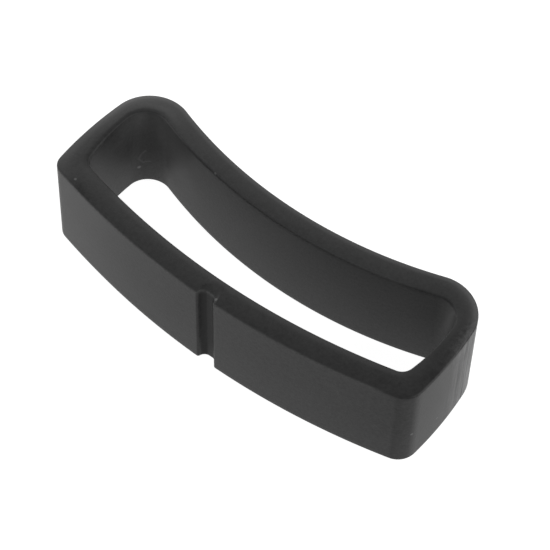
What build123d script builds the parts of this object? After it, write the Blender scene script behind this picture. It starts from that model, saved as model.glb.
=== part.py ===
from build123d import *
import math
import os

# Loop as a whole, in millimetres: X runs along the passage's long side, Z along the strap
loop_length = 28.0
band_width = 7.25
loop_depth = 8.67

# Wall thicknesses, each where its wall crosses the middle of the loop or its widest point
front_wall = 1.7
back_wall = 1.52
end_wall = 1.32

# Bows of the two long walls, which follow the wrist
front_outer_radius = 51.7
front_inner_radius = 48.5
back_outer_radius = 30.4
back_inner_radius = 32.2

# Shallow bulge of the two end walls and how far behind the front face each stands widest
end_outer_radius = 26.0
end_inner_radius = 14.5
end_outer_level = 4.8
end_inner_level = 6.5

# Corners seen along the strap
front_outer_corner = 1.0
front_inner_corner = 0.85
back_outer_corner = 2.75
back_inner_corner = 1.55

# Groove down the middle of the front wall, wider at its mouth than at its floor
groove_mouth = 1.24
groove_floor = 0.94
groove_depth = 0.5
groove_floor_radius = 0.5
groove_shoulder_radius = 0.18
shoulder_limit_share = 0.4
floor_limit_share = 0.9

# Small round on the edges of both rims
rim_radius = 0.16
rim_limit_share = 0.9

# Length that the groove's cutter stands proud of the front face
overrun = 1.0


def bowed_outline(reach, front_y, front_radius, back_y, back_radius, end_radius, end_level):
    """Region between two bows, closed at both ends by shallow arcs."""
    within_front = Pos(0, front_y + front_radius) * Circle(front_radius)
    beyond_back = Pos(0, back_y + back_radius) * Circle(back_radius)
    left_end = Pos(end_radius - reach, end_level) * Circle(end_radius)
    right_end = mirror(left_end, about=Plane.YZ)
    return (within_front & left_end & right_end) - beyond_back


def rounded_corners(outline, front_corner, back_corner):
    """Round the two front corners and the two back corners of an outline."""
    outline = fillet(outline.vertices().sort_by(Axis.Y)[:2], front_corner)
    return fillet(farthest_back(outline), back_corner)


def farthest_back(outline):
    """The two back corners, which are the hindmost vertices on each side."""
    return outline.vertices().sort_by(Axis.Y)[-2:]


def outer_outline():
    """Outside of the loop, before the groove."""
    reach = loop_length / 2
    outline = bowed_outline(
        reach, 0, front_outer_radius, loop_depth, back_outer_radius, end_outer_radius, end_outer_level
    )
    return rounded_corners(outline, front_outer_corner, back_outer_corner)


def passage_outline():
    """Passage for the strap."""
    reach = loop_length / 2 - end_wall
    back_y = loop_depth - back_wall
    outline = bowed_outline(
        reach, front_wall, front_inner_radius, back_y, back_inner_radius, end_inner_radius, end_inner_level
    )
    return rounded_corners(outline, front_inner_corner, back_inner_corner)


def groove_spread():
    """How far each wall of the groove leans out from floor to mouth."""
    return (groove_mouth - groove_floor) / 2


def round_setback_share():
    """How much of its radius a round takes up on each side of the groove's shoulder and floor corners."""
    return math.tan(math.atan2(groove_depth, groove_spread()) / 2)


def shoulder_round():
    """Radius of the groove's shoulders, which leaves part of each groove wall straight."""
    wall = math.hypot(groove_depth, groove_spread())
    return min(groove_shoulder_radius, wall * shoulder_limit_share / round_setback_share())


def floor_round():
    """Radius of the groove's floor corners, within what its shoulders and floor leave."""
    wall = math.hypot(groove_depth, groove_spread())
    room = min(groove_floor / 2, wall - shoulder_round() * round_setback_share())
    return min(groove_floor_radius, room * floor_limit_share / round_setback_share())


def rim_round():
    """Radius of the rim edges, which have to turn round the groove's shoulders."""
    return min(rim_radius, shoulder_round() * rim_limit_share)


def grooved(outline):
    """Cut the groove across the middle of the front wall and round its shoulders and floor."""
    half_floor = groove_floor / 2
    half_proud = groove_mouth / 2 + overrun * groove_spread() / groove_depth
    right_side = [(half_floor, groove_depth), (half_proud, -overrun)]
    left_side = [(-half_proud, -overrun), (-half_floor, groove_depth)]
    outline = outline - make_face(Polyline(*right_side, *left_side, close=True))
    shoulders = outline.vertices().sort_by(Axis.Y)[:2]
    outline = fillet(shoulders, shoulder_round())
    floor_corners = outline.vertices().sort_by_distance((0, groove_depth))[:2]
    return fillet(floor_corners, floor_round())


def moulded_loop():
    """The whole keeper, moulded in one shot of rubber."""
    wall = grooved(outer_outline()) - passage_outline()
    loop = extrude(wall, band_width)
    rims = loop.edges().group_by(Axis.Z)
    loop = fillet(rims[0] + rims[-1], rim_round())
    middle = loop.bounding_box().center()
    return Pos(-middle.X, -middle.Y, 0) * loop


os.makedirs("parts", exist_ok=True)
export_step(moulded_loop(), "parts/keeper_loop.step")
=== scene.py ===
import math

import bpy
import numpy as np
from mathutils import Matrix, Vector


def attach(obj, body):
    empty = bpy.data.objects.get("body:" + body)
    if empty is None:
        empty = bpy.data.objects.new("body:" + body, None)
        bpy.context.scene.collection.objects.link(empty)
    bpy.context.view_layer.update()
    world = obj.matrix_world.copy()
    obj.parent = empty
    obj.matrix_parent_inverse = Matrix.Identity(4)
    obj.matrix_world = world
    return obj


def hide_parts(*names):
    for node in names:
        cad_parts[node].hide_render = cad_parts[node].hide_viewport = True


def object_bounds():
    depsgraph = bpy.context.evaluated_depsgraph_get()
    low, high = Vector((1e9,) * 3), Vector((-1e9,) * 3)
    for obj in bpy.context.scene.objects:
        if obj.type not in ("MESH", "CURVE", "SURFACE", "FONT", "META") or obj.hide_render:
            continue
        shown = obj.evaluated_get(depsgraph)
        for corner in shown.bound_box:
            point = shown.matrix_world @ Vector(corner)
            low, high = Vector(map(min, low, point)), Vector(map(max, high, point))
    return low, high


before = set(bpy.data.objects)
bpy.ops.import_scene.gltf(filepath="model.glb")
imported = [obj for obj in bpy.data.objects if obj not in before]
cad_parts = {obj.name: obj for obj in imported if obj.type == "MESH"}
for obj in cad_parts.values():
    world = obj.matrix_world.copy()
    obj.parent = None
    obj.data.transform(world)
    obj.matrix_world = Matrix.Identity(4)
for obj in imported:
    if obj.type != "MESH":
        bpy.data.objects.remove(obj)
cad_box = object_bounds()


# The keeper loop: the ring that holds down the free end of a watch strap.
# It is one moulding of black rubber, bowed to follow the wrist, with a narrow
# groove pressed down the middle of its outer wall by the mould.
mm = 0.001
band_width = 7.25 * mm
edge_round = 0.16 * mm
rim_crown = 0.05 * mm
left_front_corner = 1.0 * mm
right_front_corner = 1.4 * mm

outside = {
    "reach": 14.0 * mm, "front": 0.0, "front_bow": 51.7 * mm, "back": 8.67 * mm, "back_bow": 30.4 * mm,
    "end_bulge": 26.0 * mm, "end_level": 4.8 * mm, "back_corner": 2.75 * mm,
}
passage = {
    "reach": 12.68 * mm, "front": 1.7 * mm, "front_bow": 48.5 * mm, "back": 7.15 * mm, "back_bow": 32.2 * mm,
    "end_bulge": 14.5 * mm, "end_level": 6.5 * mm, "back_corner": 1.55 * mm,
}
passage_front_corner = 0.85 * mm
groove = {
    "mouth": 1.24 * mm, "floor": 0.94 * mm, "depth": 0.50 * mm, "floor_corner": 0.50 * mm,
    "shoulder": 0.18 * mm, "left_of_middle": 0.12 * mm,
}
left_lean = {"from": 8.0 * mm, "reach": 6.0 * mm, "top_out": 0.04 * mm, "bottom_out": 0.19 * mm}

# How many points each stretch of the outlines and of the wall's section has, with its ends.
points = {
    "front_bow": 100, "front_corner": 22, "end": 52, "back_corner": 40, "back_bow": 110,
    "groove_floor": 7, "groove_round": 12, "edge_round": 7, "rim": 15, "face": 25,
}


def meeting(centre_a, radius_a, centre_b, radius_b, side):
    """Where two circles meet, on the left (+1) or the right (-1) of the line from centre a to centre b."""
    apart = centre_b - centre_a
    gap = np.hypot(*apart)
    along = (gap ** 2 + radius_a ** 2 - radius_b ** 2) / (2 * gap)
    off = math.sqrt(radius_a ** 2 - along ** 2)
    unit = apart / gap
    return centre_a + along * unit + side * off * np.array([-unit[1], unit[0]])


def arc(centre, radius, start, stop, count):
    """Points on a circle from the angle of one point to the angle of another, the short way round."""
    first = math.atan2(*(start - centre)[::-1])
    last = math.atan2(*(stop - centre)[::-1])
    turn = (last - first + math.pi) % (2 * math.pi) - math.pi
    angle = first + turn * np.linspace(0, 1, count)
    return centre + radius * np.stack([np.cos(angle), np.sin(angle)], axis=1)


def toward(point, centre, radius):
    """The point on a circle that lies in the direction of another point."""
    return centre + radius * (point - centre) / np.hypot(*(point - centre))


def half_outline(shape, middle, front_corner):
    """Right half of a bowed outline: the middle piece, the front bow, the front corner of the radius given,
    the end's bulge, the back corner and the back bow. A corner's centre lies where the circles of its two
    neighbours meet, once each is moved inwards by the corner's radius."""
    back_corner = shape["back_corner"]
    bow = np.array([0, shape["front"] + shape["front_bow"]])
    back = np.array([0, shape["back"] + shape["back_bow"]])
    bulge = np.array([shape["reach"] - shape["end_bulge"], shape["end_level"]])
    bow_radius, back_radius, bulge_radius = shape["front_bow"], shape["back_bow"], shape["end_bulge"]
    front_centre = meeting(bow, bow_radius - front_corner, bulge, bulge_radius - front_corner, 1)
    back_centre = meeting(bulge, bulge_radius - back_corner, back, back_radius + back_corner, -1)
    marks = [
        toward(front_centre, bow, bow_radius), toward(front_centre, bulge, bulge_radius),
        toward(back_centre, bulge, bulge_radius), toward(back_centre, back, back_radius),
    ]
    runs = [
        arc(bow, bow_radius, middle[-1], marks[0], points["front_bow"]),
        arc(front_centre, front_corner, marks[0], marks[1], points["front_corner"]),
        arc(bulge, bulge_radius, marks[1], marks[2], points["end"]),
        arc(back_centre, back_corner, marks[2], marks[3], points["back_corner"]),
        arc(back, back_radius, marks[3], np.array([0, shape["back"]]), points["back_bow"]),
    ]
    return np.concatenate([middle] + [run[1:] for run in runs])


def closed_outline(right, left):
    """A right half and the mirror image of a left half as one closed line, each point once, anticlockwise."""
    return np.concatenate([right, left[-2:0:-1] * [-1, 1]])


def groove_half(side):
    """Right (+1) half of the groove, or the left (-1) one turned over: level floor from the groove's own
    middle, its round, leaning wall, and the shoulder that runs out into the front bow. The shoulder's centre
    slides along the wall, at the shoulder's radius from it, until its circle touches the bow."""
    shift = side * groove["left_of_middle"]
    depth, floor_corner, shoulder = groove["depth"], groove["floor_corner"], groove["shoulder"]
    bow, bow_radius = np.array([0, outside["front_bow"]]), outside["front_bow"]
    foot = np.array([groove["floor"] / 2 - shift, depth])
    wall = np.array([(groove["mouth"] - groove["floor"]) / 2, -depth])
    wall = wall / np.hypot(*wall)
    into_rubber = np.array([-wall[1], wall[0]])
    low = foot + floor_corner * (wall * (1 - into_rubber[1]) / -wall[1] - into_rubber)
    start = foot + shoulder * into_rubber - bow
    run = -start @ wall + math.sqrt((start @ wall) ** 2 - start @ start + (bow_radius - shoulder) ** 2)
    high = start + bow + run * wall
    floor_x = np.linspace(-shift, low[0], points["groove_floor"])
    floor_line = np.stack([floor_x, np.full(len(floor_x), depth)], axis=1)
    wall_foot, wall_top = low + floor_corner * into_rubber, high - shoulder * into_rubber
    low_round = arc(low, floor_corner, floor_line[-1], wall_foot, points["groove_round"])
    high_round = arc(high, shoulder, wall_top, toward(high, bow, bow_radius), points["groove_round"])
    return np.concatenate([floor_line, low_round[1:], high_round])


def backing(groove_line):
    """The stretch of the passage's front bow that backs half of the groove, with as many points as it has."""
    x = np.linspace(groove_line[0, 0], groove_line[-1, 0], len(groove_line))
    bow = passage["front_bow"]
    return np.stack([x, passage["front"] + bow - np.sqrt(bow ** 2 - x ** 2)], axis=1)


def outward(line):
    """Unit normals of a closed anticlockwise line, from the chord between each point's neighbours."""
    chord = np.roll(line, -1, axis=0) - np.roll(line, 1, axis=0)
    chord = chord / np.linalg.norm(chord, axis=1)[:, None]
    return np.stack([chord[:, 1], -chord[:, 0]], axis=1)


def wall_section():
    """The wall's section from its lower outer edge round and back, as four columns: share of the way from the
    outer line to the inner line, inset from the outer line, inset from the inner line, and height. Its edges
    are quarter circles, and its rims fall away by the square of the way from their middle."""
    turn = np.linspace(0, math.pi / 2, points["edge_round"])
    drop, rise = edge_round * (1 - np.sin(turn)), edge_round * (1 - np.cos(turn))
    over = np.linspace(0, 1, points["rim"])[1:-1]
    inset = np.full(len(over), edge_round)
    crown = rim_crown * (2 * over - 1) ** 2
    low, high = rim_crown, band_width - rim_crown
    up = np.linspace(low + edge_round, high - edge_round, points["face"])[1:-1]
    outer_face = np.stack([0 * up, 0 * up, 0 * up, up], axis=1)
    outer_top = np.stack([0 * turn, rise, 0 * turn, high - drop], axis=1)
    rim = np.stack([over, inset, inset, band_width - crown], axis=1)
    inner_top = np.stack([0 * turn + 1, 0 * turn, rise[::-1], high - drop[::-1]], axis=1)
    inner_face = np.stack([0 * up + 1, 0 * up, 0 * up, up[::-1]], axis=1)
    inner_foot = np.stack([0 * turn + 1, 0 * turn, rise, low + drop], axis=1)
    foot = np.stack([over[::-1], inset, inset, crown[::-1]], axis=1)
    outer_foot = np.stack([0 * turn, rise[::-1], 0 * turn, low + drop[::-1]], axis=1)
    return np.concatenate([outer_face, outer_top, rim, inner_top, inner_face, inner_foot, foot, outer_foot])


def carried(outer, inner, section):
    """Carries the wall's section round the loop: each point lies between the outer line, moved inwards by the
    section's first inset, and the inner line, moved into the wall by its second, at the section's height."""
    share, out_inset, in_inset, height = section.T
    outer_rows = outer[:, None] - outward(outer)[:, None] * out_inset[:, None]
    inner_rows = inner[:, None] + outward(inner)[:, None] * in_inset[:, None]
    flat = outer_rows * (1 - share)[:, None] + inner_rows * share[:, None]
    return np.concatenate([flat, np.broadcast_to(height[:, None], flat.shape[:2] + (1,))], axis=2)


def leant(x, z):
    """X with the left end leaning out towards its foot, as soft rubber does when it stands on one rim. The
    lean grows with the square of the way from where it starts to the end, and evenly from rim to foot."""
    share = np.clip((-x - left_lean["from"]) / left_lean["reach"], 0, 1) ** 2
    height = z / band_width
    return x - share * (left_lean["top_out"] * height + left_lean["bottom_out"] * (1 - height))


def ring_faces(rows, columns):
    """Quads of a grid that closes on itself both ways."""
    row, column = np.meshgrid(np.arange(rows), np.arange(columns), indexing="ij")
    after, beside = (row + 1) % rows, (column + 1) % columns
    here, there = row * columns, after * columns
    corners = [here + column, there + column, there + beside, here + beside]
    return np.stack(corners, axis=2).reshape(-1, len(corners))


def mesh_from_grid(name, places, faces):
    """A mesh with smooth faces from an array of places and an array of quads."""
    mesh = bpy.data.meshes.new(name)
    mesh.vertices.add(len(places))
    mesh.vertices.foreach_set("co", places.astype(np.float32).ravel())
    mesh.loops.add(faces.size)
    mesh.loops.foreach_set("vertex_index", faces.astype(np.int32).ravel())
    mesh.polygons.add(len(faces))
    mesh.polygons.foreach_set("loop_start", np.arange(0, faces.size, faces.shape[1], dtype=np.int32))
    mesh.polygons.foreach_set("use_smooth", np.ones(len(faces), dtype=bool))
    mesh.update(calc_edges=True)
    mesh.validate()
    return mesh


right_groove, left_groove = groove_half(1), groove_half(-1)
outer_line = closed_outline(
    half_outline(outside, right_groove, right_front_corner),
    half_outline(outside, left_groove, left_front_corner),
)
inner_line = closed_outline(
    half_outline(passage, backing(right_groove), passage_front_corner),
    half_outline(passage, backing(left_groove), passage_front_corner),
)

# The outlines count depth from the front face. The frame counts it from the
# middle of the CAD loop, so both lines move until their fronts agree.
to_frame = [0, cad_box[0][1] - outer_line[:, 1].min()]
section = wall_section()
grid = carried(outer_line + to_frame, inner_line + to_frame, section)
grid[:, :, 0] = leant(grid[:, :, 0], grid[:, :, 2])
loop_mesh = mesh_from_grid("rubber_loop", grid.reshape(-1, 3), ring_faces(*grid.shape[:2]))

# The mesh carries how far over the rim each point lies: 0 on the outer face, 1 on the inner one.
across_rim = loop_mesh.attributes.new("across_rim", "FLOAT", "POINT")
across_rim.data.foreach_set("value", np.tile(section[:, 0], len(grid)).astype(np.float32))


class Socket:
    """A shader socket that can be used in plain arithmetic. Each operation adds a Math node."""

    def __init__(self, nodes, socket):
        self.nodes = nodes
        self.socket = socket

    def math(self, operation, *values):
        return self.nodes.add("ShaderNodeMath", {"operation": operation}, dict(enumerate((self, *values))))

    def __add__(self, other):
        return self.math("ADD", other)

    def __radd__(self, other):
        return self.math("ADD", other)

    def __sub__(self, other):
        return self.math("SUBTRACT", other)

    def __rsub__(self, other):
        return self.nodes.add("ShaderNodeMath", {"operation": "SUBTRACT"}, {0: other, 1: self})

    def __mul__(self, other):
        return self.math("MULTIPLY", other)

    def __rmul__(self, other):
        return self.math("MULTIPLY", other)


class Nodes:
    """Adds nodes to one material's tree."""

    def __init__(self, material):
        self.tree = material.node_tree
        self.tree.nodes.clear()

    def add(self, kind, settings=None, inputs=None, output=0):
        """One output of a new node, by name or number. The node's settings are set first, then the values or
        links of its sockets."""
        node = self.tree.nodes.new(kind)
        for name, value in (settings or {}).items():
            setattr(node, name, value)
        for name, value in (inputs or {}).items():
            if isinstance(value, Socket):
                self.tree.links.new(value.socket, node.inputs[name])
            else:
                node.inputs[name].default_value = value
        return Socket(self, node.outputs[output]) if node.outputs else None

    def part(self, vector, axis):
        """The X, Y or Z of a vector."""
        return self.add("ShaderNodeSeparateXYZ", {}, {"Vector": vector}, axis)

    def between(self, value, start, full):
        """A smooth step from 0 at the start to 1 where it is full, which may be the lower of the two."""
        settings = {"interpolation_type": "SMOOTHSTEP"}
        return self.add("ShaderNodeMapRange", settings, {"Value": value, "From Min": start, "From Max": full})

    def noise(self, vector, waves_per_metre, detail, roughness):
        """Noise from -0.5 to 0.5."""
        inputs = {"Vector": vector, "Scale": waves_per_metre, "Detail": detail, "Roughness": roughness}
        return self.add("ShaderNodeTexNoise", {}, inputs) - 0.5


rubber = bpy.data.materials.new("matt_black_rubber")
rubber.use_nodes = True
make = Nodes(rubber)
place = make.add("ShaderNodeTexCoord", output="Object")
place_mm = make.add("ShaderNodeVectorMath", {"operation": "SCALE"}, {0: place, "Scale": 1 / mm})
facing = make.add("ShaderNodeNewGeometry", output="Normal")
steep = make.part(facing, "Z")
tilt = steep.math("ABSOLUTE")
measures = {
    "x": make.part(place_mm, "X"), "y": make.part(place_mm, "Y"), "z": make.part(place_mm, "Z"),
    "across": make.add("ShaderNodeAttribute", {"attribute_name": "across_rim"}, output="Fac"),
    "turned": make.part(facing, "X"), "steep": steep, "tilt": tilt,
}


def patch(**zones):
    """Mask of a patch of the skin: the product of a smooth step for each end of each zone. A zone gives,
    along one measure, where the patch starts and where it is full, and, if it has four values, up to where
    it is full and where it ends. X, y and z are millimetres in the frame. Across runs from 0 at the rim's
    outer edge to 1 at its inner edge. Turned, steep and tilt are how far the skin faces right, up, and up or
    down. The distances from the painted glint and from the groove's middle are added to the measures below."""
    starts = [make.between(measures[name], zone[0], zone[1]) for name, zone in zones.items()]
    ends = [make.between(measures[name], zone[3], zone[2]) for name, zone in zones.items() if len(zone) == 4]
    return math.prod(starts + ends)


level = patch(steep=(0.5, 0.9))
inside = patch(across=(0.93, 1.0), tilt=(0.9, 0.5))
upright_inside = inside * (1 - level)
behind = patch(y=(-1.0, 4.0))
right_end = patch(x=(9.5, 12.5))

# The skin: the mould's fine grain, two coarser unevennesses over it, and faint
# clouds where the compound flowed. The right end carries upright scuffs.
grain = make.noise(place, waves_per_metre=9000.0, detail=2.0, roughness=0.6)
skin = make.noise(place, waves_per_metre=4200.0, detail=2.0, roughness=0.5)
mottle = make.noise(place, waves_per_metre=1500.0, detail=1.0, roughness=0.5)
cloud = make.noise(place, waves_per_metre=260.0, detail=2.0, roughness=0.5)
upright_stretch = (1.0, 1.0, 0.05)
drawn_out = make.add("ShaderNodeVectorMath", {"operation": "MULTIPLY"}, {0: place, 1: upright_stretch})
scratches = make.noise(drawn_out, waves_per_metre=4500.0, detail=2.0, roughness=0.7)
right_face = patch(x=(12.9, 13.6)) * (1 - inside)
scuffed = right_face * patch(y=(-0.5, 2.8)) * scratches

# Painted fill light, which makes the rubber a little paler: in the passage's back corners,
# mostly high up and on the left, and low down all round.
left_corner = patch(x=(-7.5, -11.5), y=(0.0, 3.0))
right_corner = patch(x=(7.5, 11.5), y=(0.0, 3.0))
back_corners = (left_corner + 0.3 * right_corner) * inside * (0.2 + 1.8 * patch(z=(3.0, 6.5)))
beside_left_corner = patch(x=(-7.2, -9.8, -11.1, -11.9), z=(1.5, 5.0)) * behind * inside
low_down = patch(z=(5.0, 0.0))
painted_fill_light = 0.030 * back_corners + 0.045 * beside_left_corner + 0.010 * low_down

# Painted light and shade on the upper rim: paler on its back, mostly along
# the outer edge, on both ends, and on the front wall along the passage, and darker in places at both ends.
left_tip = patch(x=(-11.2, -13.4), across=(0.7, 0.0))
left_part = patch(x=(-9.2, -11.8))
right_middle = patch(y=(-1.0, 0.5, 2.2, 3.6), across=(0.42, 0.80))
painted_rim_light = 0.012 * behind + 0.038 * behind * patch(across=(0.28, 0.0))
painted_rim_light = painted_rim_light + 0.020 * behind * patch(x=(-8.5, -11.5), across=(1.0, 0.70))
painted_rim_light = painted_rim_light + 0.035 * behind * right_end * patch(across=(0.7, 0.0))
painted_rim_light = painted_rim_light + 0.032 * left_tip * (1 - 0.3 * behind)
painted_rim_light = painted_rim_light + 0.014 * left_part * patch(y=(-3.0, -1.2), across=(0.40, 0.65, 0.78, 0.97))
painted_rim_light = painted_rim_light + 0.018 * patch(x=(-10.0, -8.8, 12.2, 13.0), y=(-1.5, -2.5), across=(0.68, 0.98))
painted_rim_light = painted_rim_light - 0.012 * left_part * patch(across=(0.5, 0.0))
painted_rim_light = painted_rim_light - right_end * (0.011 * right_middle + 0.004 * measures["across"])
painted_rim_light = painted_rim_light * level

# Painted highlight along the edges, where the skin turns from upright to level.
# The outer edge of the front wall gets more of it on the left. Little of it
# lies on the outer edge at the right end's two corners and on the passage's
# edge at its left end and near its right end.
turning = 4 * tilt * (1 - tilt)
left_unlit_edge = patch(x=(-10.4, -11.8), y=(-1.0, 2.0))
right_unlit_edge = patch(x=(7.8, 9.8, 11.4, 12.2))
outer_unlit_edge = patch(x=(11.2, 12.6), across=(0.3, 0.0)) * (1 - patch(y=(-3.2, -2.2, 0.4, 2.0)))
unlit_edges = (left_unlit_edge + right_unlit_edge) * patch(across=(0.80, 0.95)) + outer_unlit_edge
edge_lit_more = patch(x=(-1.0, -4.0), y=(-1.5, -2.5), across=(0.3, 0.0))
painted_edge_highlight = turning * (1 - 0.9 * unlit_edges + 0.45 * edge_lit_more)

# Painted glint: a slanting pale band on the passage wall at the right back
# corner, with its line in millimetres.
glint_line = {"top": 6.5, "x_at_top": 11.86, "slope": 0.2}
glint_x = glint_line["x_at_top"] - (glint_line["top"] - measures["z"]) * glint_line["slope"]
measures["from_streak"] = (measures["x"] - glint_x).math("ABSOLUTE")
streak = patch(from_streak=(0.45, 0.0), z=(2.0, 6.4, 6.7, 7.2)) * inside * behind

# Specks of dust, each with its place and size in millimetres and how much
# paler it is than the rubber.
speck_core_share = 0.4
dust = 0.0
for speck, size, amount in (
    ((-11.99, -3.45, 7.22), 0.12, 0.08), ((-5.60, 2.36, 7.16), 0.13, 0.10), ((0.47, -4.93, 7.18), 0.13, 0.10),
    ((14.0, -0.38, 1.77), 0.12, 0.06), ((13.80, -2.85, 2.88), 0.14, 0.07), ((-12.48, 2.94, 1.59), 0.18, 0.12),
):
    away = make.add("ShaderNodeVectorMath", {"operation": "DISTANCE"}, {0: place_mm, 1: speck}, "Value")
    dust = amount * make.between(away, size, speck_core_share * size) + dust

# A curl of lint that lies in the passage's left back corner, as a line of
# short strands. Its places and widths are in millimetres too.
lint = {"core": 0.02, "edge": 0.13, "paler": 0.035}
curl = np.array([
    (-12.19, 3.31, 3.22), (-12.41, 3.07, 2.85), (-12.48, 2.95, 2.42), (-12.33, 3.17, 2.02),
    (-12.01, 3.45, 2.10),
])
for near_end, far_end in zip(curl[:-1], curl[1:]):
    strand = far_end - near_end
    pace = tuple(strand / (strand @ strand))
    offset = make.add("ShaderNodeVectorMath", {"operation": "SUBTRACT"}, {0: place_mm, 1: tuple(near_end)})
    reached = make.add("ShaderNodeVectorMath", {"operation": "DOT_PRODUCT"}, {0: offset, 1: pace}, "Value")
    reached = reached.math("MAXIMUM", 0.0).math("MINIMUM", 1.0)
    nearest = make.add("ShaderNodeVectorMath", {"operation": "SCALE"}, {0: tuple(strand), "Scale": reached})
    away = make.add("ShaderNodeVectorMath", {"operation": "DISTANCE"}, {0: offset, 1: nearest}, "Value")
    dust = dust.math("MAXIMUM", lint["paler"] * make.between(away, lint["edge"], lint["core"]))

# Painted shade in the groove, from its mouth to behind its floor, and up to
# just below the rim: the tone there is darker and part of the shine gives way to dull black.
measures["from_groove"] = (measures["x"] + groove["left_of_middle"] / mm).math("ABSOLUTE")
painted_groove_shade = patch(from_groove=(0.68, 0.45), y=(-5.25, -5.03, -4.58, -4.33), z=(7.15, 6.75))

# The rubber's tone, to which each patch adds how much paler it is than plain
# rubber; the painted light, painted highlight and painted glint add to it, and
# the painted groove shade darkens it. The grain shows less on the upper rim, which is handled smooth.
plain_tone = 0.018
least_tone = 0.002
tone = (plain_tone + painted_fill_light + painted_rim_light + 0.042 * painted_edge_highlight) * (1 - 0.85 * painted_groove_shade)
tone = tone + 0.006 * cloud * (1 - painted_groove_shade)
tone = tone + (0.022 * grain + 0.034 * skin + 0.012 * mottle) * (1 - 0.45 * level)
tone = tone + 0.12 * scuffed + 0.05 * streak + dust
tone = tone.math("MAXIMUM", least_tone)
color = make.add("ShaderNodeCombineColor", {}, {0: tone, 1: tone, 2: tone})

# The rubber's roughness: a little less on the outside towards the left and a
# little more towards the right, least on the right end's outer face, which is
# rubbed, and most in the passage's left back corner, high up.
plain_roughness = 0.50
smoother_left = patch(x=(-2.0, -14.0)) * (1 - inside)
duller_right = patch(x=(-2.0, 10.0)) * (1 - right_face)
rubbed_end = right_face * (0.02 + 0.02 * patch(y=(-2.0, 1.0)) + 0.09 * patch(y=(0.0, 3.0)))
roughness = plain_roughness - 0.06 * smoother_left + 0.05 * duller_right - rubbed_end
roughness = roughness + 0.15 * back_corners * (1 - right_end)
roughness = roughness + 0.06 * cloud + 0.11 * skin + 0.04 * mottle - 0.32 * scuffed
relief_height = 0.5 * grain + 0.5 * skin
relief = make.add("ShaderNodeBump", {}, {"Height": relief_height, "Strength": 0.15, "Distance": 0.08 * mm})

# Painted shade: part of the shine gives way to a dull black where the
# photograph is darker than this studio makes the rubber: in the groove, on the
# right of the front wall and round its corner, and in the passage's left end, on
# its end wall, in its back corner and along its upper edge.
front_right = patch(turned=(0.14, 0.38, 0.86, 0.99), y=(0.0, -1.0)) * (1 - inside) * (1 - level)
left_wall = patch(turned=(0.80, 0.99), x=(-11.8, -12.3), y=(-1.8, 2.2), z=(1.0, 6.6)) * upright_inside
left_nook = patch(turned=(0.99, 0.80), x=(-10.7, -11.3)) * behind * upright_inside
left_edge = turning * left_unlit_edge * patch(x=(-10.4, -11.8), across=(0.80, 0.95))
painted_shade_share = 0.20 * painted_groove_shade + 0.27 * front_right + 0.32 * left_wall + 0.18 * left_edge
painted_shade_share = painted_shade_share + left_nook * (0.34 * patch(z=(0.0, 4.0)) - 0.20 * patch(z=(3.2, 6.0)))

# Both shaders glow very faintly, which stands for the veil that the lens laid
# over dark rubber on a white floor.
white_light = (1.0, 1.0, 1.0, 1.0)
veil = {"Emission Color": white_light, "Emission Strength": 0.006}
painted_shade_black = (0.006, 0.006, 0.006, 1.0)
shiny = make.add("ShaderNodeBsdfPrincipled", {}, {
    "Base Color": color, "Roughness": roughness, "Normal": relief, "IOR": 1.28, **veil,
})
painted_shade_shader = make.add("ShaderNodeBsdfPrincipled", {}, {
    "Base Color": painted_shade_black, "Roughness": 1.0, "Specular IOR Level": 0.0, **veil,
})
mixed = make.add("ShaderNodeMixShader", {}, {0: painted_shade_share, 1: shiny, 2: painted_shade_shader})
make.add("ShaderNodeOutputMaterial", {}, {"Surface": mixed})

loop = bpy.data.objects.new("rubber_loop", loop_mesh)
bpy.context.scene.collection.objects.link(loop)
loop.data.materials.append(rubber)
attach(loop, "root")
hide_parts("keeper_loop")


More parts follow.
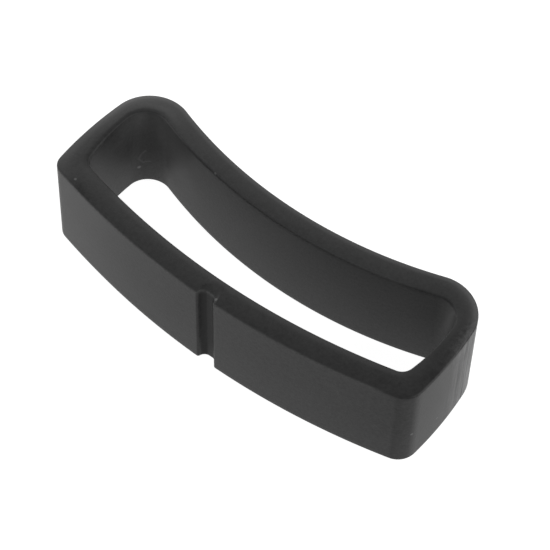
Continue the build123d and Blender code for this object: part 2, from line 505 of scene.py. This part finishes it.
# The floor: a plain white sheet that the loop lies on, lit like a light table
# so that it stays white, with only a faint contact shadow.
floor_reach = 3.0
sheet_tone = (0.3, 0.3, 0.3, 1.0)
sheet_roughness = 0.9
sheet_glow = 0.97
floor_mesh = bpy.data.meshes.new("white_floor")
floor_corners = floor_reach * np.array([[-1, -1, 0], [1, -1, 0], [1, 1, 0], [-1, 1, 0]])
floor_mesh.from_pydata(floor_corners.tolist(), [], [[0, 1, 2, 3]])
white_sheet = bpy.data.materials.new("white_sheet")
white_sheet.use_nodes = True
sheet_nodes = Nodes(white_sheet)
sheet = sheet_nodes.add("ShaderNodeBsdfPrincipled", {}, {
    "Base Color": sheet_tone, "Roughness": sheet_roughness,
    "Emission Color": white_light, "Emission Strength": sheet_glow,
})
sheet_nodes.add("ShaderNodeOutputMaterial", {}, {"Surface": sheet})
floor_mesh.materials.append(white_sheet)
floor = bpy.data.objects.new("white_floor", floor_mesh)
bpy.context.scene.collection.objects.link(floor)


# The studio: a dim room with a long softbox behind the loop's left side, a
# shorter one on its right and a weak one in front, all turned to the loop.
# The glowing floor lights the walls too.
room_glow = 0.02
world = bpy.data.worlds.new("dim_room")
bpy.context.scene.world = world
world.use_nodes = True
room = world.node_tree.nodes["Background"]
room.inputs["Color"].default_value = white_light
room.inputs["Strength"].default_value = room_glow


def softbox(name, stand, length, width, power):
    """A rectangular area light at a place in metres, its length level, turned to face the loop."""
    data = bpy.data.lights.new(name, "AREA")
    data.shape = "RECTANGLE"
    data.size, data.size_y, data.energy = length, width, power
    light = bpy.data.objects.new(name, data)
    light.location = stand
    light.rotation_euler = (math.acos(stand[2] / math.hypot(*stand)), 0, math.atan2(stand[0], -stand[1]))
    bpy.context.scene.collection.objects.link(light)


softbox("long_softbox", stand=(-0.348, 0.217, 0.287), length=0.50, width=0.25, power=1.53)
softbox("front_fill", stand=(0.0, -0.30, 0.40), length=0.40, width=0.40, power=0.45)
softbox("side_softbox", stand=(0.398, 0.099, 0.287), length=0.40, width=0.25, power=1.25)


# The camera, at the photograph's angle.
camera_place = (47.929 * mm, -62.017 * mm, 115.904 * mm)
camera_turn_degrees = (34.967, -0.956, 38.416)
focal_length_mm = 144.231
nearest_seen = 10 * mm
camera_data = bpy.data.cameras.new("camera")
camera_data.lens = focal_length_mm
camera_data.clip_start = nearest_seen
camera = bpy.data.objects.new("camera", camera_data)
camera.location = camera_place
camera.rotation_euler = [math.radians(angle) for angle in camera_turn_degrees]
bpy.context.scene.collection.objects.link(camera)
bpy.context.scene.camera = camera

bpy.context.scene.view_settings.view_transform = "Standard"
